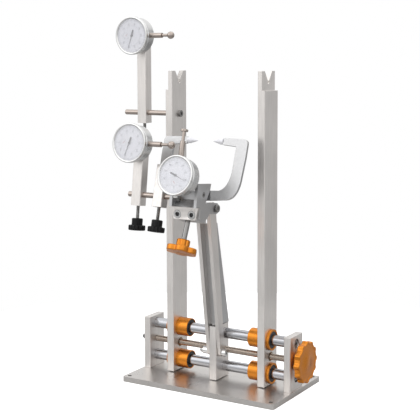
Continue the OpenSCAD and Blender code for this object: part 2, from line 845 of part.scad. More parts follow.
module left_finger_tip() {
    color(white) mirror([1, 0, 0]) at_fingers() right_tip();
}

module finger_screw() {
    out = finger_screw_out + star_hub_h * star_bore_share;
    color(steel) at_finger_screw() translate([0, 0, -out])
        cylinder(h = out + finger_screw_in, d = finger_screw_d);
}

module star_knob() {
    core_r = star_d * half * star_core_share;
    lobe_r = star_d * star_lobe_share;
    low_z = -finger_screw_out - star_hub_h - star_t;
    color(orange) at_finger_screw() translate([0, 0, low_z]) difference() {
        union() {
            cylinder(h = star_t + star_hub_h, d = star_hub_d);
            linear_extrude(star_t) union() {
                circle(core_r);
                for (i = [0 : star_lobes - 1]) rotate(i * full_turn / star_lobes)
                    translate([star_d * half - lobe_r, 0]) circle(lobe_r);
            }
        }
        translate([0, 0, star_t + star_hub_h * (1 - star_bore_share) - seat])
            cylinder(h = star_hub_h, d = finger_screw_d + 2 * seat);
    }
}

// Carries its children to a gauge's frame: its origin is on the rod's axis, Z up along the bar
module at_hub_gauge() {
    translate([hub_bar_x, 0, gauge_rod_z]) children();
}

module at_side_gauge() {
    translate([side_bar_x, rod_hold[0], rod_hold[1]]) rotate([-side_lean, 0, 0]) children();
}

module at_radial_gauge() {
    translate([radial_bar_x, rod_hold[0], rod_hold[1]]) rotate([-radial_lean, 0, 0]) children();
}

// A square bar on a gauge rod: up is its height above the rod
module gauge_bar(up) {
    difference() {
        translate([0, 0, -bar_down]) linear_extrude(up + bar_down) bevelled(bar_w, bar_w, upright_bevel);
        bar_x(-bar_w, bar_w, gauge_rod_d + 2 * run);
        translate([0, 0, -bar_down - over]) cylinder(h = bar_down + over, d = clamp_stud_d + 2 * run);
    }
}

// The clamp knob under a bar, with the stud that presses on the rod
module clamp_knob() {
    color(black) union() {
        translate([0, 0, -clamp_hub_drop])
            cylinder(h = clamp_hub_drop - gauge_rod_d * half - run, d = clamp_stud_d);
        translate([0, 0, -clamp_hub_drop - clamp_hub_h]) cylinder(h = clamp_hub_h, d = clamp_hub_d);
        translate([0, 0, -clamp_hub_drop - clamp_hub_h - clamp_flange_h]) linear_extrude(clamp_flange_h)
            lobed(clamp_knob_d, clamp_flutes);
    }
}

// Carries its children to a dial's centre, up above the rod: Z forward out of the face, Y up.
// Z = 0 is the front of the bar or link that holds the gauge.
module at_dial(up, forward, x) {
    translate([x, -bar_w * half - forward, up]) rotate([right_angle, 0, 0]) children();
}

// A gauge's case with its lug at the back, its stem at turn degrees from +X and its cap opposite
module gauge_case(turn) {
    case_d = bezel_d * case_share;
    front = face_to_bar - dial_t - seat;
    stem_z = face_to_bar - stem_back;
    color(metal) difference() {
        union() {
            translate([0, 0, lug_t]) cylinder(h = front - lug_t, d = case_d);
            translate([-lug_w * half, -lug_low, seat]) cube([lug_w, lug_low + lug_high, lug_t + over]);
            translate([0, 0, stem_z]) rotate([0, right_angle, turn]) cylinder(h = stem_end, d = stem_d);
            translate([0, 0, stem_z]) rotate([0, -right_angle, turn])
                cylinder(h = case_d * half + cap_l, d = cap_d);
        }
        translate([0, 0, front - bezel_t + bezel_lip]) difference() {
            cylinder(h = bezel_t, d = bezel_d + over);
            translate([0, 0, -over]) cylinder(h = bezel_t + 2 * over, d = case_d - 2 * over);
        }
        translate([0, 0, stem_z]) rotate([0, right_angle, turn])
            translate([0, 0, stem_end - bezel_d * half]) cylinder(h = bezel_d, d = plunger_d + 2 * run);
    }
}

// The turning bezel with the dial face
module gauge_bezel() {
    case_d = bezel_d * case_share;
    face_z = face_to_bar - dial_t;
    ring_z = face_z - seat - bezel_t + bezel_lip + side_gap;
    color(steel) difference() {
        translate([0, 0, ring_z]) cylinder(h = face_to_bar + bezel_lip - ring_z, d = bezel_d);
        translate([0, 0, ring_z - over])
            cylinder(h = face_z - ring_z + over, d = case_d - 2 * over + 2 * run);
        translate([0, 0, face_to_bar]) cylinder(h = bezel_lip + over, d = bezel_d * face_share);
        translate([0, 0, ring_z - over]) cylinder(h = bezel_t + 2 * over, d = needle_hub_d);
    }
}

// The needle and its spindle, pointing turn degrees from +X
module gauge_needle(turn) {
    z0 = face_to_bar + needle_gap;
    color(black) rotate(turn) union() {
        translate([0, 0, z0]) linear_extrude(needle_t) polygon([[0, -needle_w * half],
            [bezel_d * needle_share, 0], [0, needle_w * half]]);
        translate([-bezel_d * needle_tail_share, -needle_tail_w * half, z0])
            cube([bezel_d * needle_tail_share, needle_tail_w, needle_t]);
        translate([0, 0, face_to_bar - dial_t])
            cylinder(h = dial_t + needle_gap + 2 * needle_t, d = needle_spindle_d);
    }
}

// The plunger on the stem's axis: its end lies out beyond the stem, kind 0 has a flat disc, 1 a ball
module gauge_plunger(turn, out, kind) {
    color(steel) translate([0, 0, face_to_bar - stem_back]) rotate([0, right_angle, turn]) union() {
        translate([0, 0, stem_end - plunger_in]) cylinder(h = plunger_in + out - anvil_t, d = plunger_d);
        if (kind == 0)
            translate([0, 0, stem_end + out - anvil_t]) cylinder(h = anvil_t, d = anvil_d);
        if (kind == 1)
            translate([0, 0, stem_end + out - anvil_d * half]) sphere(d = anvil_d);
    }
}

module hub_gauge_bar() {
    color(metal) at_hub_gauge() gauge_bar(hub_bar_up);
}

module side_gauge_bar() {
    color(metal) at_side_gauge() gauge_bar(side_bar_up);
}

module radial_gauge_bar() {
    color(metal) at_radial_gauge() gauge_bar(radial_bar_up);
}

module radial_gauge_link() {
    color(metal) at_radial_gauge() translate([-link_start_x, -bar_w * half - link_t, link_low])
        cube([link_start_x - radial_bar_x + link_end_x, link_t - seat, link_h]);
}

// Each gauge's place: hub and side gauges point along +X, the radial one upwards
module at_hub_dial() {
    at_hub_gauge() at_dial(hub_dial_up, 0, 0) children();
}

module at_side_dial() {
    at_side_gauge() at_dial(side_dial_up, 0, 0) children();
}

module at_radial_dial() {
    at_radial_gauge() at_dial(radial_dial_up, link_t, -radial_bar_x) children();
}

base_plate();
end_bracket(-1);  // left_end_bracket
end_bracket(1);  // right_end_bracket
bracket_screws();
guide_rod(rod_top_z);  // upper_guide_rod
guide_rod(rod_low_z);  // lower_guide_rod
rod_end_screws();
centre_pillar();
foot_bolt();  // arm_pivot_bolt
upright(-1);  // left_upright
bearing_housings(-1);  // left_bearing_housings
linear_bearings(-1);  // left_linear_bearings
lead_nut(-1);  // left_lead_nut
upper_gauge_rod();
gauge_rod_screw();
upright(1);  // right_upright
bearing_housings(1);  // right_bearing_housings
linear_bearings(1);  // right_linear_bearings
lead_nut(1);  // right_lead_nut
lead_screw();
width_knob();
lead_screw_cap_nut();
arm(-1);  // left_arm
arm(1);  // right_arm
arm_spine();
head_bolt();  // head_pivot_bolt
head_block();
head_front_plate();
front_plate_screws();
ear(-1);  // left_ear
ear(1);  // right_ear
ear_screws();
finger_pivot_screws();
lower_gauge_rod();
gauge_rod_nut();
left_finger();
left_finger_tip();
right_finger();
right_finger_tip();
finger_screw();
star_knob();
hub_gauge_bar();
side_gauge_bar();
radial_gauge_bar();
radial_gauge_link();
at_hub_gauge() clamp_knob();  // hub_clamp_knob
at_side_gauge() clamp_knob();  // side_clamp_knob
at_radial_gauge() clamp_knob();  // radial_clamp_knob
at_hub_dial() gauge_case(0);  // hub_gauge_case
at_hub_dial() gauge_bezel();  // hub_gauge_bezel
at_hub_dial() gauge_needle(hub_needle);  // hub_gauge_needle
at_hub_dial() gauge_plunger(0, hub_out, 1);  // hub_gauge_plunger
at_side_dial() gauge_case(0);  // side_gauge_case
at_side_dial() gauge_bezel();  // side_gauge_bezel
at_side_dial() gauge_needle(side_needle);  // side_gauge_needle
at_side_dial() gauge_plunger(0, side_out, 1);  // side_gauge_plunger
at_radial_dial() gauge_case(up_turn);  // radial_gauge_case
at_radial_dial() gauge_bezel();  // radial_gauge_bezel
at_radial_dial() gauge_needle(radial_needle);  // radial_gauge_needle
at_radial_dial() gauge_plunger(up_turn, radial_out, 0);  // radial_gauge_plunger
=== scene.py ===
"""Looks of a bicycle wheel truing stand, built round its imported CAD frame. Lengths are in metres."""

import json
import math

import bmesh
import bpy
import numpy as np
from bpy.props import FloatProperty, FloatVectorProperty, IntProperty, PointerProperty
from mathutils import Matrix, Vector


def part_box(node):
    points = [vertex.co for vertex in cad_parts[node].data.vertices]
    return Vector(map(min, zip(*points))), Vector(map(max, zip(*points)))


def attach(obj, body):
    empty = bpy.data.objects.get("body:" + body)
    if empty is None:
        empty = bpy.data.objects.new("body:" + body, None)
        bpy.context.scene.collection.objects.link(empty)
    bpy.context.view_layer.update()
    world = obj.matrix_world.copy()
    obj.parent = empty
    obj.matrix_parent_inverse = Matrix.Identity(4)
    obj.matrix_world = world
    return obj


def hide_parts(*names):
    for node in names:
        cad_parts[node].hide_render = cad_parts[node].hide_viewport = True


bl_info = {
    "name": "Wheel truing stand",
    "version": (1, 0, 0),
    "blender": (4, 5, 0),
    "location": "View3D > Sidebar > Truing Stand",
    "description": "Finishes the packed wheel truing stand and sets its studio",
    "category": "Object",
}

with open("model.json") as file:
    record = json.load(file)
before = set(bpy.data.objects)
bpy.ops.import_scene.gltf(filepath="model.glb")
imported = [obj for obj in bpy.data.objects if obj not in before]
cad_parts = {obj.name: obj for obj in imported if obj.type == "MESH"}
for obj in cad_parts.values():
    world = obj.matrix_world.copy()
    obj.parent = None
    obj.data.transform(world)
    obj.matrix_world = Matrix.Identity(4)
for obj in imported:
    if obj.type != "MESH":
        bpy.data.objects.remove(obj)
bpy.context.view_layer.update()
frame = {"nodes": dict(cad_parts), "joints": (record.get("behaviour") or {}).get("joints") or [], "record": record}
JOINTS = {j["name"]: j for j in frame["joints"]}
BODY_OF = {
    node: body
    for body, nodes in frame["record"]["behaviour"]["bodies"].items()
    for node in nodes
}
GAUGES = ("hub", "side", "radial")
MM = 0.001
FULL = 2 * math.pi

# Edges and joins: the angles that count as flat, smooth and sharp, and the gaps that are merged
FLAT_ANGLE = math.radians(1.0)
SMOOTH_ANGLE = 0.6
EDGE_ANGLE = math.radians(32)
PIECE_MERGE = 1e-7
CAD_MERGE = 3e-6

# Sockets of a Mix node, whose names repeat, by their order
MIX_FACTOR, MIX_LEVEL_A, MIX_LEVEL_B, MIX_COLOUR_A, MIX_COLOUR_B = 0, 2, 3, 6, 7
MIX_LEVEL_OUT, MIX_COLOUR_OUT = 0, 2

# Columns round a thread, a turned part, a bezel and a printed line, and columns for each lobe of
# the width knob, arm of the star knob and flute of a clamp knob
THREAD_COLUMNS = 20
TURNED_COLUMNS, BEZEL_COLUMNS, LINE_COLUMNS = 96, 128, 72
LOBE_COLUMNS, ARM_COLUMNS, FLUTE_COLUMNS = 30, 60, 24

# Columns on each side that the softening of a fine rim and of the star averages, and points in each
# quarter round of a big and of a small knob
RIM_SOFTENING, STAR_SOFTENING = 3, 5
ROUND_POINTS = 5
SMALL_ROUND_POINTS = 4

# Heights of a clamp knob's foot, flange and top, from the axis of the rod that it holds
CLAMP_HEIGHTS = (-52 * MM, -44.5 * MM, -34.5 * MM)

# A dial gauge, in mm from the middle of its face: the bezel, the plate, the tick rings and figures
BEZEL_OUT, BEZEL_LIP, BEZEL_BACK, BEZEL_FRONT = 28.5, 25.1, -5.2, 2.5
SEAT_OUT, SEAT_IN, SEAT_DEPTH = 26.2, 25.65, -1.05
PLATE_OUT, PLATE_BORE, PLATE_DEPTH = 26.15, 2.0, -0.9
TICK_OUT, LONG_TICK_IN, MIDDLE_TICK_IN, SHORT_TICK_IN = 24.2, 20.4, 21.6, 22.4
FIGURE_REACH, FIGURE_RISE, INNER_LINE_REACH = 17.4, 0.03, 14.6
COUNTER_REACH, COUNTER_LINE_REACH, COUNTER_TICK_OUT = 10.5, 5.1, 4.8
LINE_WIDTH, PRINT_HEIGHT = 0.16, 0.05
PANE_OUT, PANE_BACK, PANE_RIM, PANE_DOME = 25.05, 1.62, 1.85, 0.35
CASE_OUT = 30

# The studio's lights: name, place, side in metres and power in watts, and the point that they face
LIGHTS = (
    ("key_light", (-1.5, -1.9, 1.7), 1.6, 6.0),
    ("fill_light", (2.0, -1.6, 1.2), 1.4, 1.0),
    ("top_light", (0.2, 0.6, 2.4), 1.8, 3.0),
)
LIGHT_AIM = (0, 0, 0.22)

# The surroundings: the direction in which they brighten, its span, and a level at each place in it
SKY_DIRECTION = (-0.04, -0.12, 0.50)
SKY_LOW, SKY_HIGH = -0.5, 0.42
SKY_LEVELS = (
    (0.0, 0.02), (0.40, 0.59), (0.54, 0.82), (0.56, 0.18), (0.585, 0.18), (0.605, 0.98), (1.0, 1.45)
)

# The camera: angles in radians, lengths of the sensor and lens in mm, place and clipping in metres
YAW, PITCH, ROLL = -0.545, 0.100, -0.003
SENSOR, FOCAL_LENGTH = 36.0, 89.37
SHIFT = (0.0166, -0.1157)
CLIP = (0.05, 50.0)
CAMERA_PLACE = (0.77216, -1.32438, 0.48739)


# Properties


def length(name, description, default):
    """A length property in metres."""
    return FloatProperty(
        name=name, description=description, default=default, unit="LENGTH", min=0.0, precision=5
    )


def colour(name, description, default):
    """A linear colour property."""
    return FloatVectorProperty(
        name=name, description=description, default=default, subtype="COLOR", min=0.0, max=1.0
    )


class StandSizes(bpy.types.PropertyGroup):
    """Sizes of the details that the looks add to the frame."""

    edge: length("Broken edge", "Width of the broken edges of machined parts", 0.45 * MM)
    rod_edge: length("Rod edge", "Width of the broken edges at the ends of rods", 0.9 * MM)
    pitch: length("Lead screw pitch", "Advance of the lead screw's thread in one turn", 2.0 * MM)
    thread_depth: length("Thread depth", "Depth of the lead screw's thread", 0.55 * MM)
    knob_round: length("Knob rounding", "Rounding of the knobs' edges", 1.3 * MM)
    tick: length("Tick width", "Width of a long tick on a dial", 0.32 * MM)
    figure: length("Figure height", "Height of the figures on a dial", 4.2 * MM)
    lobes: IntProperty(name="Width knob lobes", description="Lobes on the width knob", default=12)
    flutes: IntProperty(name="Clamp knob flutes", description="Flutes on a clamp knob", default=14)
    arms: IntProperty(name="Star knob arms", description="Arms of the star knob", default=6)


class StandColours(bpy.types.PropertyGroup):
    """Colours of the stand's finishes."""

    alloy: colour("Satin alloy", "Clear anodised aluminium", (0.76, 0.73, 0.705))
    # A darker copy of the alloy, painted shade on the spine between the arms and on the head block and ears; the
    # fingers wear it too
    grey: colour("Grey alloy", "Aluminium of spine, head block, ears and fingers", (0.50, 0.50, 0.505))
    bright: colour(
        "Bright alloy", "Gauge cases; lighter on bezels, arm bolt and front screws", (0.64, 0.64, 0.635)
    )
    steel: colour("Polished steel", "Guide rods", (0.42, 0.425, 0.445))
    warm: colour("Warm steel", "Gauge rods, plungers and the cases' stems", (0.42, 0.365, 0.33))
    screw: colour("Screw steel", "Other screws, bolts and nuts, and the clamp studs", (0.28, 0.275, 0.27))
    lead: colour("Lead screw", "Oiled steel of the lead screw", (0.42, 0.36, 0.31))
    bronze: colour("Bronze", "Lead nuts", (0.24, 0.17, 0.10))
    orange: colour("Orange anodising", "Housings and big knobs", (0.66, 0.235, 0.032))
    black: colour("Black plastic", "Clamp knobs", (0.006, 0.006, 0.007))
    # Black of the bearings' seals, also used as painted shade in the front screws' sockets and on their broken
    # edges
    seal: colour("Bearing black", "Linear bearings and the front screws' sockets", (0.018, 0.018, 0.02))
    white: colour("White tip", "Finger tips", (0.80, 0.80, 0.84))
    dial: colour("Dial", "Dial faces", (0.72, 0.72, 0.77))
    ink: colour("Print", "Ticks, figures and printed lines", (0.30, 0.30, 0.33))
    hand: colour("Needle", "Needles of the gauges", (0.17, 0.17, 0.18))
    red: colour("Counter hand", "Hand of the small counter", (0.45, 0.16, 0.16))
    floor: colour("Floor", "Studio floor", (0.42, 0.42, 0.42))


# Materials


def shader(name):
    """A new material, its node tree, its shader and a function that adds a node."""
    material = bpy.data.materials.new(name)
    material.use_nodes = True
    tree = material.node_tree
    principled = tree.nodes["Principled BSDF"]

    def add(kind, **values):
        node = tree.nodes.new(kind)
        for key, value in values.items():
            if hasattr(node, key):
                setattr(node, key, value)
            else:
                node.inputs[key.replace("_", " ")].default_value = value
        return node

    return material, tree, principled, add


def noise(tree, add, stretch, scale, detail=4.0):
    """Noise on object coordinates that are stretched along the axes."""
    place = add("ShaderNodeTexCoord")
    mapping = add("ShaderNodeMapping")
    mapping.inputs["Scale"].default_value = stretch
    texture = add("ShaderNodeTexNoise", Scale=scale, Detail=detail)
    tree.links.new(place.outputs["Object"], mapping.inputs["Vector"])
    tree.links.new(mapping.outputs["Vector"], texture.inputs["Vector"])
    return texture.outputs["Fac"]


def ranged(tree, add, value, low, high, start=0.3, end=0.7):
    """Maps the span from start to end of a value onto low to high."""
    node = add("ShaderNodeMapRange")
    for key, number in (("From Min", start), ("From Max", end), ("To Min", low), ("To Max", high)):
        node.inputs[key].default_value = number
    tree.links.new(value, node.inputs["Value"])
    return node.outputs["Result"]


def tinted(tree, add, value, first, second):
    """A colour between two by a value from 0 to 1."""
    node = add("ShaderNodeMix", data_type="RGBA")
    node.inputs[MIX_COLOUR_A].default_value = (*first, 1.0)
    node.inputs[MIX_COLOUR_B].default_value = (*second, 1.0)
    tree.links.new(value, node.inputs[MIX_FACTOR])
    return node.outputs[MIX_COLOUR_OUT]


def scaled(rgb, factor):
    """A colour times a factor, kept below 1."""
    return tuple(min(1.0, c * factor) for c in rgb)


def finish(name, rgb, rough, metallic=1.0, stretch=(1, 1, 1), grain=1400.0, shade=0.08,
           bump=0.05, relief=0.02, gloss=0.5):
    """A worked finish: fine grain, broad patches and thin scratches vary colour, roughness and relief.
    grain is the fine noise's scale, shade its share of the colour, relief its depth in mm."""
    patch_scale, patch_dark = 22.0, 0.93
    scratch_share, scratch_stretch, scratch_start, scratch_end = 0.35, (3, 3, 0.6), 0.42, 0.62
    dull_share, bright_share, patch_low, patch_high = 1.12, 0.86, -0.04, 0.05
    material, tree, principled, add = shader(name)
    fine = noise(tree, add, stretch, grain, detail=5.0)
    broad = noise(tree, add, (1, 1, 1), patch_scale, detail=3.0)
    across = tuple(a * b for a, b in zip(stretch, scratch_stretch))
    scratch = noise(tree, add, across, grain * scratch_share, detail=2.0)
    darker, lighter = scaled(rgb, 1 - shade), scaled(rgb, 1 + shade)
    grains = tinted(tree, add, ranged(tree, add, fine, 0, 1), darker, lighter)
    patches = add("ShaderNodeMix", data_type="RGBA", blend_type="MULTIPLY")
    patches.inputs[MIX_FACTOR].default_value = 1.0
    worn = tinted(tree, add, ranged(tree, add, broad, 0, 1), (patch_dark,) * 3, (1.0,) * 3)
    tree.links.new(grains, patches.inputs[MIX_COLOUR_A])
    tree.links.new(worn, patches.inputs[MIX_COLOUR_B])
    tree.links.new(patches.outputs[MIX_COLOUR_OUT], principled.inputs["Base Color"])
    total = add("ShaderNodeMath", operation="ADD")
    dull, smooth = rough * dull_share, rough * bright_share
    scratches = ranged(tree, add, scratch, dull, smooth, scratch_start, scratch_end)
    tree.links.new(ranged(tree, add, broad, patch_low, patch_high), total.inputs[0])
    tree.links.new(scratches, total.inputs[1])
    tree.links.new(total.outputs["Value"], principled.inputs["Roughness"])
    bumps = add("ShaderNodeBump")
    bumps.inputs["Strength"].default_value = bump
    bumps.inputs["Distance"].default_value = relief * MM
    tree.links.new(fine, bumps.inputs["Height"])
    tree.links.new(bumps.outputs["Normal"], principled.inputs["Normal"])
    principled.inputs["Metallic"].default_value = metallic
    principled.inputs["Specular IOR Level"].default_value = gloss
    return material


def clear(name):
    """A mostly see-through pane, with faint smears in its gloss and colour."""
    smear_scale, smoothest, roughest, cover = 60.0, 0.03, 0.12, 0.14
    material, tree, principled, add = shader(name)
    smears = noise(tree, add, (1, 1, 3), smear_scale, detail=3.0)
    tint = tinted(tree, add, ranged(tree, add, smears, 0, 1), (0.9, 0.92, 0.95), (1, 1, 1))
    tree.links.new(ranged(tree, add, smears, smoothest, roughest), principled.inputs["Roughness"])
    tree.links.new(tint, principled.inputs["Base Color"])
    principled.inputs["Alpha"].default_value = cover
    return material


def finishes():
    """The materials by name, made once."""
    c = bpy.context.scene.stand_colours
    along_z = (1, 1, 0.03)
    along_x = (0.03, 1, 1)
    made = {
        "satin_alloy": lambda n: finish(n, c.alloy, 0.40, shade=0.05),
        "base_alloy": lambda n: finish(n, scaled(c.alloy, 0.86), 0.34, shade=0.05),
        "drawn_alloy": lambda n: finish(n, c.alloy, 0.38, stretch=along_z, grain=900, shade=0.07),
        # Darker grey alloy: painted shade on the spine, head block and ears, worn by the fingers too
        "grey_alloy": lambda n: finish(n, c.grey, 0.36, shade=0.09, grain=1100),
        "bright_alloy": lambda n: finish(n, c.bright, 0.27, grain=1600, shade=0.03, bump=0.015),
        "polished_steel": lambda n: finish(n, c.steel, 0.17, stretch=along_x, grain=1800, shade=0.04),
        "bezel_steel": lambda n: finish(
            n, scaled(c.bright, 1.12), 0.15, grain=1800, shade=0.03, bump=0.015
        ),
        "warm_steel": lambda n: finish(n, c.warm, 0.10, stretch=along_x, grain=1800, shade=0.05),
        "screw_steel": lambda n: finish(n, c.screw, 0.28, shade=0.08),
        "lead_steel": lambda n: finish(n, c.lead, 0.22, stretch=(0.3, 1, 1), shade=0.16),
        "bronze": lambda n: finish(n, c.bronze, 0.35, shade=0.12),
        "orange_anodised": lambda n: finish(n, c.orange, 0.30, shade=0.10, grain=1700, bump=0.08),
        # Real black on the linear bearings; on the front screws it is painted shade in the sockets and on the
        # broken edges
        "bearing_black": lambda n: finish(n, c.seal, 0.45, metallic=0.0, shade=0.25),
        "white_tip": lambda n: finish(n, c.white, 0.30, metallic=0.0, shade=0.03, bump=0.03),
        "black_knob": lambda n: finish(
            n, c.black, 0.42, metallic=0.0, shade=0.3, bump=0.12, gloss=0.18
        ),
        "needle_dark": lambda n: finish(n, c.hand, 0.5, metallic=0.0, shade=0.15),
        "dial_face": lambda n: finish(n, c.dial, 0.5, metallic=0.0, shade=0.02, bump=0.02),
        "dial_print": lambda n: finish(n, c.ink, 0.6, metallic=0.0, shade=0.15),
        "dial_red": lambda n: finish(n, c.red, 0.6, metallic=0.0, shade=0.15),
        "clear_pane": clear,
    }
    found = {m.name: m for m in bpy.data.materials}
    return {name: found.get(name + "_finish") or make(name + "_finish") for name, make in made.items()}


def dress(obj, name):
    """Gives an object one finish in place of what it wears."""
    obj.data.materials.clear()
    obj.data.materials.append(finishes()[name])


# Surfaces


def placed(origin, x, y, z):
    """A 4 by 4 matrix whose columns are the three axes and the origin."""
    matrix = np.eye(4)
    for column, vector in enumerate((x, y, z, origin)):
        matrix[:3, column] = vector
    return matrix


def along(point, axis):
    """A frame at a point whose Z runs along an axis."""
    z = np.array(axis, float)
    z /= np.linalg.norm(z)
    x = np.cross((0, 1, 0) if abs(z[1]) < 0.9 else (1, 0, 0), z)
    x /= np.linalg.norm(x)
    return placed(point, x, np.cross(z, x), z)


def dial_frame(gauge):
    """The frame of a gauge's dial: origin on the face, X right, Y up the bar, Z out of the face."""
    joint = JOINTS[gauge + "_bezel_turn"]
    z = -np.array(joint["axis"], float)
    x = np.array((1.0, 0.0, 0.0))
    return placed(joint["pos_m"], x, np.cross(z, x), z)


def stem_turn(gauge):
    """The angle of a gauge's stem on its dial, from X towards Y."""
    return math.pi / 2 if gauge == "radial" else 0.0


def new_piece(name, points, faces, material):
    """An object at the origin from points and faces, merged where they meet, faces outwards."""
    mesh = bpy.data.meshes.new(name)
    mesh.from_pydata(points.tolist(), [], faces.tolist() if hasattr(faces, "tolist") else faces)
    work = bmesh.new()
    work.from_mesh(mesh)
    bmesh.ops.remove_doubles(work, verts=work.verts, dist=PIECE_MERGE)
    bmesh.ops.recalc_face_normals(work, faces=work.faces)
    work.to_mesh(mesh)
    work.free()
    mesh.shade_smooth()
    mesh.set_sharp_from_angle(angle=SMOOTH_ANGLE)
    obj = bpy.data.objects.new(name, mesh)
    bpy.context.scene.collection.objects.link(obj)
    mesh.materials.append(finishes()[material])
    return obj


def grid_faces(rows, columns, loop):
    """Quads of a grid whose columns wrap round, and whose rows do too where loop is true."""
    r = np.arange(rows if loop else rows - 1)[:, None]
    c = np.arange(columns)[None, :]
    r2, c2 = (r + 1) % rows, (c + 1) % columns
    corners = (r * columns + c, r * columns + c2, r2 * columns + c2, r2 * columns + c)
    return np.stack([np.broadcast_to(k, (len(r), columns)) for k in corners], -1).reshape(-1, 4)


def surface(name, radii, heights, matrix, material, loop=False):
    """A surface round an axis: row i, column j lies at radius radii[i, j] and height heights[i, j],
    at an angle that runs once round over the columns."""
    rows, columns = radii.shape
    turn = np.arange(columns) * FULL / columns
    local = np.stack([radii * np.cos(turn), radii * np.sin(turn), heights, np.ones_like(radii)], -1)
    world = (local.reshape(-1, 4) @ matrix.T)[:, :3]
    return new_piece(name, world, grid_faces(rows, columns, loop), material)


def turned(name, profile, matrix, material, columns=TURNED_COLUMNS, loop=False):
    """A turned part: the profile of radius and height is carried once round the axis."""
    p = np.array(profile, float)
    ones = np.ones(columns)
    return surface(name, p[:, :1] * ones, p[:, 1:] * ones, matrix, material, loop)


def lobed(turn, reach, count, small, core):
    """The reach of a lobed outline at each angle: the farther of a core circle and of a ring of small
    circles, each met where a ray from the centre leaves it. small and core are the circles' radii."""
    middle = reach - small
    pitch = FULL / count
    offset = (turn + pitch / 2) % pitch - pitch / 2
    inside = small**2 - (middle * np.sin(offset)) ** 2
    ray = np.where(inside > 0, middle * np.cos(offset) + np.sqrt(np.maximum(inside, 0)), 0)
    return np.maximum(ray, core)


def softened(reach, width):
    """Averages an outline's reach over neighbouring columns, so its inner corners are filleted."""
    total = sum(np.roll(reach, k) for k in range(-width, width + 1))
    return total / (2 * width + 1)


def fine_lobes(turn, diameter, count):
    """A softened rim of many small lobes, each a quarter of its share of the rim in radius, with the
    core circle seven tenths of that radius below the rim."""
    lobe_share, depth_share = 0.25, 0.7
    small = diameter * math.pi / count * lobe_share
    core = diameter / 2 - small * depth_share
    return softened(lobed(turn, diameter / 2, count, small, core), RIM_SOFTENING)


def quarter_rounds(low, high, outline, step, points):
    """Rows of height and reach that round both edges of a disc from low to high: each is a quarter
    circle of radius step, drawn inwards from the outline."""
    angles = np.linspace(0, math.pi / 2, points)
    rise = [step * (1 - math.cos(a)) for a in angles]
    fall = [step * (1 - math.sin(a)) for a in angles]
    lower = [(low + up, outline - inwards) for up, inwards in zip(rise, fall)]
    return lower + [(high - down, outline - inwards) for down, inwards in zip(fall, rise)]


def stacked(name, rows, matrix, material):
    """A surface from rows of a height and a reach, where the reach holds one value a column."""
    radii = np.stack([reach for _, reach in rows])
    heights = np.array([height for height, _ in rows])[:, None] * np.ones(radii.shape[1])
    return surface(name, radii, heights, matrix, material)


def closed_rod(name, radii, heights, matrix, material):
    """A surface whose two ends are closed by rows of no radius at the first and last heights."""
    ends = np.zeros((1, radii.shape[1]))
    radii = np.concatenate([ends, radii, ends])
    heights = np.concatenate([heights[:1], heights, heights[-1:]])
    return surface(name, radii, heights, matrix, material)


def own(obj, body, replaces=()):
    """Rides a piece on its body and hides the CAD parts that it stands for."""
    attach(obj, body)
    if replaces:
        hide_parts(*replaces)
    return obj


def worked_copy(node, material, edge):
    """A merged copy of a CAD node with its edges broken by a bevel, in place of the node."""
    work = bmesh.new()
    work.from_mesh(frame["nodes"][node].data)
    bmesh.ops.remove_doubles(work, verts=work.verts, dist=CAD_MERGE)
    bmesh.ops.dissolve_limit(work, angle_limit=FLAT_ANGLE, verts=work.verts, edges=work.edges)
    bmesh.ops.recalc_face_normals(work, faces=work.faces)
    mesh = bpy.data.meshes.new(node + "_finished")
    work.to_mesh(mesh)
    work.free()
    mesh.shade_smooth()
    mesh.set_sharp_from_angle(angle=EDGE_ANGLE)
    obj = bpy.data.objects.new(node + "_finished", mesh)
    bpy.context.scene.collection.objects.link(obj)
    bevel = obj.modifiers.new("broken_edges", "BEVEL")
    bevel.width = edge
    bevel.segments = 2
    bevel.limit_method = "ANGLE"
    bevel.angle_limit = EDGE_ANGLE
    bevel.harden_normals = True
    mesh.materials.append(finishes()[material])
    return own(obj, BODY_OF[node], [node])


# Operators


class FinishPlates(bpy.types.Operator):
    """Breaks the edges of the base, brackets, uprights, pillar, arms, fingers, bars and head"""

    bl_idname = "truing_stand.finish_plates"
    bl_label = "Finish plates and bars"
    bl_options = {"REGISTER", "UNDO"}

    def execute(self, context):
        """Copies each machined part and gives it a drawn, satin or base finish, or a darker grey as painted shade.
        """
        edge = context.scene.stand_sizes.edge
        drawn = ("left_upright", "right_upright", "hub_gauge_bar", "side_gauge_bar", "radial_gauge_bar",
                 "left_arm", "right_arm", "left_end_bracket", "right_end_bracket", "centre_pillar")
        # Parts that wear the darker grey as painted shade
        grey = ("arm_spine", "head_block", "left_ear", "right_ear", "left_finger", "right_finger")
        for nodes, material in (
            (drawn, "drawn_alloy"),
            (("radial_gauge_link",), "satin_alloy"),
            (grey, "grey_alloy"),
            (("head_front_plate",), "drawn_alloy"),
            (("base_plate",), "base_alloy"),
        ):
            for node in nodes:
                worked_copy(node, material, edge)
        return {"FINISHED"}


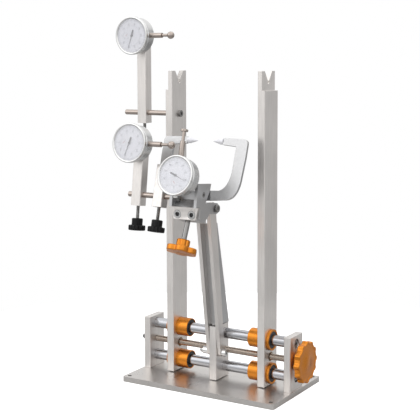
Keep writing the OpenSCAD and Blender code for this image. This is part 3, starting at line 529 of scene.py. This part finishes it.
class FinishSteel(bpy.types.Operator):
    """Finishes the rods, bolts, screws, nuts and finger tips"""

    bl_idname = "truing_stand.finish_steel"
    bl_label = "Finish rods and screws"
    bl_options = {"REGISTER", "UNDO"}

    def execute(self, context):
        """Copies the rods, bolts, front screws and tips with broken edges, and dresses the rest."""
        sizes = context.scene.stand_sizes
        for node in ("upper_guide_rod", "lower_guide_rod"):
            worked_copy(node, "polished_steel", sizes.rod_edge)
        for node in ("upper_gauge_rod", "lower_gauge_rod"):
            worked_copy(node, "warm_steel", sizes.rod_edge)
        for node in ("head_pivot_bolt", "finger_screw"):
            worked_copy(node, "screw_steel", sizes.edge)
        worked_copy("arm_pivot_bolt", "bezel_steel", sizes.edge)
        for node in ("bracket_screws", "rod_end_screws", "gauge_rod_screw", "ear_screws",
                     "finger_pivot_screws", "gauge_rod_nut", "lead_screw_cap_nut"):
            dress(frame["nodes"][node], "screw_steel")
        self.sockets("front_plate_screws", sizes)
        for node in ("left_lead_nut", "right_lead_nut"):
            dress(frame["nodes"][node], "bronze")
        for node in ("left_finger_tip", "right_finger_tip"):
            worked_copy(node, "white_tip", sizes.edge)
        return {"FINISHED"}

    def sockets(self, node, sizes):
        """Bright heads along Y whose bevels, and the faces deeper than their front, are painted black as shade."""
        front_depth = 0.3 * MM
        heads = worked_copy(node, "bezel_steel", sizes.edge)
        # The broken edges wear the black: a painted dark outline of shade round each head
        heads.modifiers["broken_edges"].material = 1
        heads.data.materials.append(finishes()["bearing_black"])
        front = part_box(node)[0][1]
        # Faces deeper than the head's front wear the black: painted shade in the socket
        for face in heads.data.polygons:
            if face.center.y > front + front_depth:
                face.material_index = 1


class FinishBearings(bpy.types.Operator):
    """Finishes the orange bearing housings and the black linear bearings in them"""

    bl_idname = "truing_stand.finish_bearings"
    bl_label = "Finish bearings"
    bl_options = {"REGISTER", "UNDO"}

    def execute(self, context):
        """Copies the housings and bearings with broken edges."""
        edge = context.scene.stand_sizes.edge
        for side in ("left", "right"):
            worked_copy(side + "_bearing_housings", "orange_anodised", edge)
            worked_copy(side + "_linear_bearings", "bearing_black", edge)
        return {"FINISHED"}


class MakeLeadScrew(bpy.types.Operator):
    """Makes the lead screw with its thread, right-handed on one side and left-handed on the other"""

    bl_idname = "truing_stand.make_lead_screw"
    bl_label = "Make lead screw"
    bl_options = {"REGISTER", "UNDO"}

    def execute(self, context):
        """The radius falls from the crest by a trapezoid wave of the axial place minus the turn's share
        of a pitch. The wave's sense changes at the middle, where a plain collar parts the two threads."""
        sizes = context.scene.stand_sizes
        rows_per_pitch, flank, crest = 5, 5, 0.75
        collar, plain_end, fade = 4 * MM, 2 * MM, MM
        low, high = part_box("lead_screw")
        y, z = (low[1] + high[1]) / 2, (low[2] + high[2]) / 2
        radius = (high[2] - low[2]) / 2
        rows = int((high[0] - low[0]) / sizes.pitch * rows_per_pitch)
        place = np.linspace(low[0], high[0], rows)[:, None] * np.ones(THREAD_COLUMNS)
        turn = np.arange(THREAD_COLUMNS) / THREAD_COLUMNS
        wave = (place / sizes.pitch - np.sign(place) * turn) % 1.0
        cut = np.clip(np.minimum(wave, 1 - wave) * flank - crest, 0, 1)
        past_collar = np.clip((np.abs(place) - collar) / fade, 0, 1)
        before_end = np.clip(((high[0] - plain_end) - place) / fade, 0, 1)
        radii = radius - cut * sizes.thread_depth * (past_collar * before_end)
        matrix = placed((0, y, z), (0, 1, 0), (0, 0, 1), (1, 0, 0))
        screw = closed_rod("lead_screw_thread", radii, place, matrix, "lead_steel")
        own(screw, "width_screw", ["lead_screw"])
        return {"FINISHED"}


class MakeWidthKnob(bpy.types.Operator):
    """Makes the lobed knob on the lead screw"""

    bl_idname = "truing_stand.make_width_knob"
    bl_label = "Make width knob"
    bl_options = {"REGISTER", "UNDO"}

    def execute(self, context):
        """A lobed outline is carried along the axis, drawn in by a quarter round at both faces, and
        passes into a round hub. The outer face is dished a little round a raised boss."""
        sizes = context.scene.stand_sizes
        low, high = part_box("width_knob")
        centre = ((low[1] + high[1]) / 2, (low[2] + high[2]) / 2)
        diameter = high[2] - low[2]
        reach = high[0] - low[0]
        disc, rim, dish_in = 9.0 * MM, 3.2 * MM, 3.9 * MM
        dish, dish_middle, boss = 0.5 * MM, 0.6 * MM, 0.1 * MM
        hub_share, dish_share, boss_share = 0.2, 0.75, 0.68
        step = sizes.knob_round
        columns = LOBE_COLUMNS * sizes.lobes
        outline = fine_lobes(np.arange(columns) * FULL / columns, diameter, sizes.lobes)
        hub = diameter * hub_share * np.ones(columns)
        rows = [(0, 0 * hub), (0, hub - step), (step, hub), (reach - disc, hub)]
        rows += quarter_rounds(reach - disc, reach, outline, step, ROUND_POINTS)
        rows += [
            (reach, outline - rim),
            (reach - dish, outline - dish_in),
            (reach - dish_middle, hub * dish_share),
            (reach - boss, hub * boss_share),
            (reach - boss, 0 * hub),
        ]
        matrix = placed((low[0], *centre), (0, 1, 0), (0, 0, 1), (1, 0, 0))
        knob = stacked("width_knob_grip", rows, matrix, "orange_anodised")
        own(knob, "width_screw", ["width_knob"])
        return {"FINISHED"}


class MakeStarKnob(bpy.types.Operator):
    """Makes the star knob on the finger screw"""

    bl_idname = "truing_stand.make_star_knob"
    bl_label = "Make star knob"
    bl_options = {"REGISTER", "UNDO"}

    def execute(self, context):
        """Arms are round lobes on a core; the disc's faces are drawn in by quarter rounds. The hub's
        outline has a groove over each gap between the arms: its radius dips by a bell curve there."""
        sizes = context.scene.stand_sizes
        diameter, disc, tall, drop = 46 * MM, 8 * MM, 19 * MM, 48.5 * MM
        arm_share, core_share = 0.2, 0.62
        hub_reach, groove, groove_share = 10 * MM, 1.3 * MM, 0.16
        recess, recess_share, mouth_share, chamfer = 0.4 * MM, 0.6, 0.75, MM
        step = sizes.knob_round
        joint = JOINTS["finger_screw_turn"]
        axis = np.array(joint["axis"], float)
        matrix = along(np.array(joint["pos_m"]) - axis * drop, axis)
        columns = ARM_COLUMNS * sizes.arms
        turn = np.arange(columns) * FULL / columns
        core = diameter / 2 * core_share
        star = lobed(turn, diameter / 2, sizes.arms, diameter * arm_share, core)
        outline = softened(star, STAR_SOFTENING)
        pitch = FULL / sizes.arms
        gap = (turn % pitch - pitch / 2) / (pitch * groove_share)
        hub = hub_reach - groove * np.exp(-(gap**2))
        rows = [(recess, 0 * hub), (recess, hub * recess_share), (0, hub * mouth_share)]
        rows += quarter_rounds(0, disc, outline, step, ROUND_POINTS)
        rows += [
            (disc, np.minimum(outline - step, hub + chamfer)),
            (disc + chamfer, hub),
            (tall - chamfer, hub),
            (tall, hub - chamfer),
            (tall, 0 * hub),
        ]
        knob = stacked("star_knob_grip", rows, matrix, "orange_anodised")
        own(knob, "finger_adjuster", ["star_knob"])
        return {"FINISHED"}


class MakeClampKnobs(bpy.types.Operator):
    """Makes the three black clamp knobs with their steel studs"""

    bl_idname = "truing_stand.make_clamp_knobs"
    bl_label = "Make clamp knobs"
    bl_options = {"REGISTER", "UNDO"}

    def execute(self, context):
        """A fluted flange passes into a hub whose reach ripples a little, and a stud with a fine
        thread runs up to the rod. All are radii over height and turn, and heights are from the rod."""
        for gauge in GAUGES:
            joint = JOINTS[gauge + "_clamp_turn"]
            matrix = along(joint["pos_m"], joint["axis"])
            self.grip(gauge, matrix, context.scene.stand_sizes)
            self.stud(gauge, matrix)
        return {"FINISHED"}

    def grip(self, gauge, matrix, sizes):
        """The plastic flange and hub: the hub's reach dips by the square of a raised cosine."""
        diameter, hub_reach, ripple, ripples = 25 * MM, 8 * MM, 0.35 * MM, 8
        recess, recess_share, mouth_share, chamfer = 0.6 * MM, 0.7, 0.8, 0.8 * MM
        low, mid, top = CLAMP_HEIGHTS
        columns = FLUTE_COLUMNS * sizes.flutes
        turn = np.arange(columns) * FULL / columns
        outline = fine_lobes(turn, diameter, sizes.flutes)
        hub = hub_reach - ripple * (0.5 + 0.5 * np.cos(turn * ripples)) ** 2
        rows = [(low + recess, 0 * hub), (low + recess, hub * recess_share), (low, hub * mouth_share)]
        rows += quarter_rounds(low, mid, outline, sizes.knob_round, SMALL_ROUND_POINTS)
        rows += [
            (mid, hub + chamfer),
            (mid + chamfer, hub),
            (top - chamfer, hub),
            (top, hub - chamfer),
            (top, 0 * hub),
        ]
        piece = stacked(gauge + "_clamp_grip", rows, matrix, "black_knob")
        own(piece, gauge + "_clamp", [gauge + "_clamp_knob"])

    def stud(self, gauge, matrix):
        """The steel stud: its radius falls by a triangle wave of the height minus the turn's share."""
        radius, depth, pitch = 2.5 * MM, 0.3 * MM, 0.8 * MM
        sunk, tip, rows = MM, -4.15 * MM, 200
        height = np.linspace(CLAMP_HEIGHTS[2] - sunk, tip, rows)[:, None] * np.ones(THREAD_COLUMNS)
        wave = (height / pitch - np.arange(THREAD_COLUMNS) / THREAD_COLUMNS) % 1.0
        radii = radius - depth * np.abs(wave * 2 - 1)
        piece = closed_rod(gauge + "_clamp_stud", radii, height, matrix, "screw_steel")
        own(piece, gauge + "_clamp")


class MakeGauges(bpy.types.Operator):
    """Finishes the gauge cases and plungers, and makes the bezels, dials and panes"""

    bl_idname = "truing_stand.make_gauges"
    bl_label = "Make gauges"
    bl_options = {"REGISTER", "UNDO"}

    def execute(self, context):
        """Makes each gauge's parts in the frame of its dial."""
        plunger_edge_share = 0.6
        sizes = context.scene.stand_sizes
        for gauge in GAUGES:
            self.case(gauge, sizes)
            worked_copy(gauge + "_gauge_plunger", "warm_steel", sizes.edge * plunger_edge_share)
            dress(frame["nodes"][gauge + "_gauge_needle"], "needle_dark")
            self.bezel(gauge)
            self.dial(gauge, sizes)
            self.pane(gauge)
        return {"FINISHED"}

    def case(self, gauge, sizes):
        """The case keeps its alloy, and its faces farther from the dial's axis than the rim get steel."""
        case = worked_copy(gauge + "_gauge_case", "bright_alloy", sizes.edge)
        case.data.materials.append(finishes()["warm_steel"])
        inverse = np.linalg.inv(dial_frame(gauge))
        for face in case.data.polygons:
            local = inverse @ np.array((*face.center, 1.0))
            if math.hypot(local[0], local[1]) > CASE_OUT * MM:
                face.material_index = 1

    def bezel(self, gauge):
        """A ring whose section is a rounded bead over a waist, carried round the dial's axis."""
        out, back, front = BEZEL_OUT, BEZEL_BACK, BEZEL_FRONT
        section = [
            (out - 1.4, back), (out - 0.5, back + 0.3), (out - 0.1, back + 0.9),
            (out - 0.1, back + 1.8), (out - 0.7, back + 2.3), (out - 0.7, back + 2.9),
            (out - 0.1, back + 3.4), (out, back + 4.2), (out, front - 1.3),
            (out - 0.2, front - 0.7), (out - 0.7, front - 0.2), (out - 1.3, front),
            (out - 2.1, front - 0.1), (out - 2.9, front - 0.7), (BEZEL_LIP, front - 1.2),
            (BEZEL_LIP, 0.02), (SEAT_OUT, 0.0), (SEAT_OUT, SEAT_DEPTH),
            (SEAT_IN, SEAT_DEPTH), (SEAT_IN, back),
        ]
        profile = np.array(section) * MM
        ring = turned(gauge + "_bezel_ring", profile, dial_frame(gauge), "bezel_steel", BEZEL_COLUMNS, True)
        own(ring, gauge + "_dial_ring", [gauge + "_gauge_bezel"])

    def dial(self, gauge, sizes):
        """A thin plate with a bore for the spindle, ticks of three lengths as thin blocks at equal
        angles, a small counter beside the middle, and figures from 0 to 90."""
        count, long_every, middle_every = 100, 10, 5
        long_width, middle_width, short_width = 1.0, 0.75, 0.45
        matrix = dial_frame(gauge)
        turn = stem_turn(gauge)
        body = gauge + "_dial_ring"
        corners = [(PLATE_BORE, 0), (PLATE_OUT, 0), (PLATE_OUT, PLATE_DEPTH), (PLATE_BORE, PLATE_DEPTH)]
        plate = np.array(corners) * MM
        own(turned(gauge + "_dial_plate", plate, matrix, "dial_face", loop=True), body)
        angle = np.arange(count) * FULL / count + turn
        long = np.arange(count) % long_every == 0
        middle = np.arange(count) % middle_every == 0
        inner = np.where(long, LONG_TICK_IN, np.where(middle, MIDDLE_TICK_IN, SHORT_TICK_IN)) * MM
        width = np.where(long, long_width, np.where(middle, middle_width, short_width)) * sizes.tick
        outer = TICK_OUT * MM * np.ones(count)
        ticks = blocks(gauge + "_dial_ticks", angle, inner, outer, width, matrix, (0, 0))
        own(ticks, body)
        side = turn + math.pi
        centre = np.array((math.cos(side), math.sin(side))) * COUNTER_REACH * MM
        self.counter_ticks(gauge, matrix, centre)
        self.line(gauge + "_inner_line", matrix, (0, 0), INNER_LINE_REACH, body)
        self.line(gauge + "_counter_line", matrix, centre, COUNTER_LINE_REACH, body)
        self.counter_hand(gauge, matrix, centre, turn)
        self.figures(gauge, sizes, matrix, turn)

    def counter_ticks(self, gauge, matrix, centre):
        """Short blocks at equal angles round the counter's centre, every second one longer."""
        count, long_in, short_in, width = 20, 3.6, 4.1, 0.14
        angle = np.arange(count) * FULL / count
        inner = np.where(np.arange(count) % 2 == 0, long_in, short_in) * MM
        outer = COUNTER_TICK_OUT * MM * np.ones(count)
        marks = blocks(gauge + "_counter_ticks", angle, inner, outer, np.full(count, width * MM), matrix,
                       centre)
        own(marks, gauge + "_dial_ring")

    def line(self, name, matrix, offset, radius, body):
        """A thin printed ring: a rectangle carried round a centre on the dial."""
        shift = matrix.copy()
        shift[:3, 3] += matrix[:3, 0] * offset[0] + matrix[:3, 1] * offset[1]
        outer = radius + LINE_WIDTH
        section = np.array([(radius, 0), (outer, 0), (outer, PRINT_HEIGHT), (radius, PRINT_HEIGHT)]) * MM
        own(turned(name, section, shift, "dial_print", LINE_COLUMNS, True), body)

    def counter_hand(self, gauge, matrix, centre, turn):
        """One block as the counter's hand, from a short tail past its centre."""
        angle, tail, tip, width, tall = 0.7, -1.0, 3.3, 0.5, 0.3
        hand = blocks(gauge + "_counter_hand", np.array([angle + turn]), np.array([tail * MM]),
                      np.array([tip * MM]), np.array([width * MM]), matrix, centre, "dial_red", tall * MM)
        own(hand, gauge + "_dial_ring")

    def figures(self, gauge, sizes, matrix, turn):
        """Figures stand upright for a reader with the stem pointing down, each centred on its tick."""
        points, faces, start = [], [], 0
        upright = turn + math.pi / 2
        for number in range(0, 100, 10):
            curve = bpy.data.curves.new("figure", "FONT")
            curve.body = str(number)
            curve.size = sizes.figure
            curve.align_x, curve.align_y = "CENTER", "CENTER"
            curve.extrude = FIGURE_RISE * MM
            curve.resolution_u = 3
            carrier = bpy.data.objects.new("figure", curve)
            mesh = carrier.to_mesh()
            flat = np.empty(len(mesh.vertices) * 3)
            mesh.vertices.foreach_get("co", flat)
            flat = flat.reshape(-1, 3)
            c, s = math.cos(upright), math.sin(upright)
            reading = upright + math.pi / 2 - number / 100 * FULL
            spot = np.array((math.cos(reading), math.sin(reading))) * FIGURE_REACH * MM
            local = np.ones((len(flat), 4))
            local[:, 0] = flat[:, 0] * c - flat[:, 1] * s + spot[0]
            local[:, 1] = flat[:, 0] * s + flat[:, 1] * c + spot[1]
            local[:, 2] = flat[:, 2] + FIGURE_RISE * MM
            points.append((local @ matrix.T)[:, :3])
            faces += [[start + v for v in p.vertices] for p in mesh.polygons]
            start += len(flat)
            carrier.to_mesh_clear()
            bpy.data.objects.remove(carrier)
            bpy.data.curves.remove(curve)
        piece = new_piece(gauge + "_dial_figures", np.concatenate(points), faces, "dial_print")
        own(piece, gauge + "_dial_ring")

    def pane(self, gauge):
        """A clear disc whose upper face is a shallow dome: its height falls with the radius squared."""
        rows = 14
        reach = np.linspace(PANE_OUT, 0, rows)
        top = np.stack([reach, PANE_RIM + PANE_DOME * (1 - (reach / PANE_OUT) ** 2)], -1)
        profile = np.concatenate([[(0, PANE_BACK), (PANE_OUT, PANE_BACK)], top]) * MM
        piece = turned(gauge + "_pane", profile, dial_frame(gauge), "clear_pane")
        own(piece, gauge + "_dial_ring")


def blocks(name, angle, inner, outer, width, matrix, centre, material="dial_print",
           tall=PRINT_HEIGHT * MM):
    """Thin blocks that point away from a centre on the dial: each runs from inner to outer at its
    angle, so its eight corners are centre plus reach times direction plus half a width sideways."""
    direction = np.stack([np.cos(angle), np.sin(angle)], -1)
    side = np.stack([-direction[:, 1], direction[:, 0]], -1) * (width / 2)[:, None]
    ends = [direction * inner[:, None], direction * outer[:, None]]
    corners = [ends[0] - side, ends[1] - side, ends[1] + side, ends[0] + side]
    flat = np.stack(corners, 1) + np.asarray(centre)
    local = np.ones((len(angle), 8, 4))
    local[:, :4, :2] = flat
    local[:, 4:, :2] = flat
    local[:, :4, 2] = 0.0
    local[:, 4:, 2] = tall
    points = (local.reshape(-1, 4) @ matrix.T)[:, :3]
    box = np.array([(0, 3, 2, 1), (4, 5, 6, 7), (0, 1, 5, 4), (1, 2, 6, 5), (2, 3, 7, 6), (3, 0, 4, 7)])
    faces = (np.arange(len(angle))[:, None, None] * 8 + box).reshape(-1, 4)
    return new_piece(name, points, faces, material)


class MakeStudio(bpy.types.Operator):
    """Sets the floor, the soft lights, the surroundings and the camera"""

    bl_idname = "truing_stand.make_studio"
    bl_label = "Make studio"
    bl_options = {"REGISTER", "UNDO"}

    def execute(self, context):
        """A round pale floor, three soft lights, a pale surround and the camera of the photograph."""
        self.floor(context.scene.stand_colours.floor)
        for name, spot, size, power in LIGHTS:
            self.light(name, np.array(spot), size, power)
        self.surround()
        self.camera()
        context.scene.view_settings.view_transform = "Standard"
        return {"FINISHED"}

    def floor(self, colour):
        """A round disc in mottled paint, which glows to the camera alone so that it reads as white."""
        radius, thickness, mottle_scale, mottle_dark, rough, glow = 0.6, 0.01, 3.0, 0.99, 0.7, 0.95
        profile = [(0, 0), (radius, 0), (radius, -thickness), (0, -thickness)]
        disc = turned("studio_floor", profile, np.eye(4), "satin_alloy")
        material, tree, principled, add = shader("floor_paint")
        mottle = ranged(tree, add, noise(tree, add, (1, 1, 1), mottle_scale), 0, 1)
        paint = tinted(tree, add, mottle, scaled(colour, mottle_dark), colour)
        tree.links.new(paint, principled.inputs["Base Color"])
        principled.inputs["Roughness"].default_value = rough
        principled.inputs["Emission Color"].default_value = (1, 1, 1, 1)
        path = add("ShaderNodeLightPath")
        seen = ranged(tree, add, path.outputs["Is Camera Ray"], 0.0, glow, 0.0, 1.0)
        tree.links.new(seen, principled.inputs["Emission Strength"])
        disc.data.materials.clear()
        disc.data.materials.append(material)

    def light(self, name, spot, size, power):
        """A square soft light that faces the middle of the stand."""
        lamp = bpy.data.lights.new(name, "AREA")
        lamp.size = size
        lamp.energy = power
        obj = bpy.data.objects.new(name, lamp)
        matrix = along(spot, spot - np.array(LIGHT_AIM))
        obj.matrix_world = Matrix(matrix.tolist())
        bpy.context.scene.collection.objects.link(obj)

    def surround(self):
        """White to the camera. As light it brightens upwards and a little to the front left, with a
        narrow dark band just above the horizon."""
        world = bpy.data.worlds.new("studio")
        bpy.context.scene.world = world
        world.use_nodes = True
        tree = world.node_tree
        back = tree.nodes["Background"]
        place = tree.nodes.new("ShaderNodeTexCoord")
        towards = tree.nodes.new("ShaderNodeVectorMath")
        towards.operation = "DOT_PRODUCT"
        towards.inputs[1].default_value = SKY_DIRECTION
        spread = tree.nodes.new("ShaderNodeMapRange")
        spread.inputs["From Min"].default_value = SKY_LOW
        spread.inputs["From Max"].default_value = SKY_HIGH
        bands = tree.nodes.new("ShaderNodeValToRGB")
        stops = bands.color_ramp.elements
        while len(stops) < len(SKY_LEVELS):
            stops.new(0.5)
        for stop, (position, level) in zip(stops, SKY_LEVELS):
            stop.position = position
            stop.color = (level, level, level, 1.0)
        path = tree.nodes.new("ShaderNodeLightPath")
        choose = tree.nodes.new("ShaderNodeMix")
        choose.inputs[MIX_LEVEL_B].default_value = 1.0
        tree.links.new(place.outputs["Generated"], towards.inputs[0])
        tree.links.new(towards.outputs["Value"], spread.inputs["Value"])
        tree.links.new(path.outputs["Is Camera Ray"], choose.inputs[MIX_FACTOR])
        tree.links.new(spread.outputs["Result"], bands.inputs["Fac"])
        tree.links.new(bands.outputs["Color"], choose.inputs[MIX_LEVEL_A])
        tree.links.new(choose.outputs[MIX_LEVEL_OUT], back.inputs["Strength"])
        back.inputs["Color"].default_value = (1, 1, 1, 1)

    def camera(self):
        """The camera that was fitted to the photograph's straight edges. Yaw turns its view about
        the vertical, pitch lowers it, and roll turns right and up about it."""
        sideways, forward = math.sin(YAW) * math.cos(PITCH), math.cos(YAW) * math.cos(PITCH)
        ahead = np.array((sideways, forward, -math.sin(PITCH)))
        level = np.array((math.cos(YAW), -math.sin(YAW), 0.0))
        upright = np.cross(level, ahead)
        right = level * math.cos(ROLL) + upright * math.sin(ROLL)
        up = upright * math.cos(ROLL) - level * math.sin(ROLL)
        data = bpy.data.cameras.new("photo_camera")
        data.sensor_width, data.lens = SENSOR, FOCAL_LENGTH
        data.shift_x, data.shift_y = SHIFT
        data.clip_start, data.clip_end = CLIP
        camera = bpy.data.objects.new("photo_camera", data)
        camera.matrix_world = Matrix(placed(CAMERA_PLACE, right, up, -ahead).tolist())
        bpy.context.scene.collection.objects.link(camera)
        bpy.context.scene.camera = camera


STEPS = (
    FinishPlates,
    FinishSteel,
    FinishBearings,
    MakeLeadScrew,
    MakeWidthKnob,
    MakeStarKnob,
    MakeClampKnobs,
    MakeGauges,
    MakeStudio,
)


class StandPanel(bpy.types.Panel):
    """Lists the stand's sizes, colours and steps."""

    bl_idname = "VIEW3D_PT_truing_stand"
    bl_label = "Wheel truing stand"
    bl_space_type = "VIEW_3D"
    bl_region_type = "UI"
    bl_category = "Truing Stand"

    def draw(self, context):
        """Draws each property and a button for each step."""
        for group in (context.scene.stand_sizes, context.scene.stand_colours):
            for key in group.__annotations__:
                self.layout.prop(group, key)
        for step in STEPS:
            self.layout.operator(step.bl_idname)


CLASSES = (StandSizes, StandColours, *STEPS, StandPanel)


def register():
    """Registers the classes and hangs the properties on the scene."""
    for item in CLASSES:
        bpy.utils.register_class(item)
    bpy.types.Scene.stand_sizes = PointerProperty(type=StandSizes)
    bpy.types.Scene.stand_colours = PointerProperty(type=StandColours)


def unregister():
    """Takes the properties and classes away again."""
    del bpy.types.Scene.stand_sizes
    del bpy.types.Scene.stand_colours
    for item in reversed(CLASSES):
        bpy.utils.unregister_class(item)


def main():
    """Runs every step."""
    register()
    for step in STEPS:
        group, name = step.bl_idname.split(".")
        if getattr(getattr(bpy.ops, group), name)() != {"FINISHED"}:
            raise RuntimeError(step.bl_label + " did not finish")


if __name__ == "__main__":
    main()
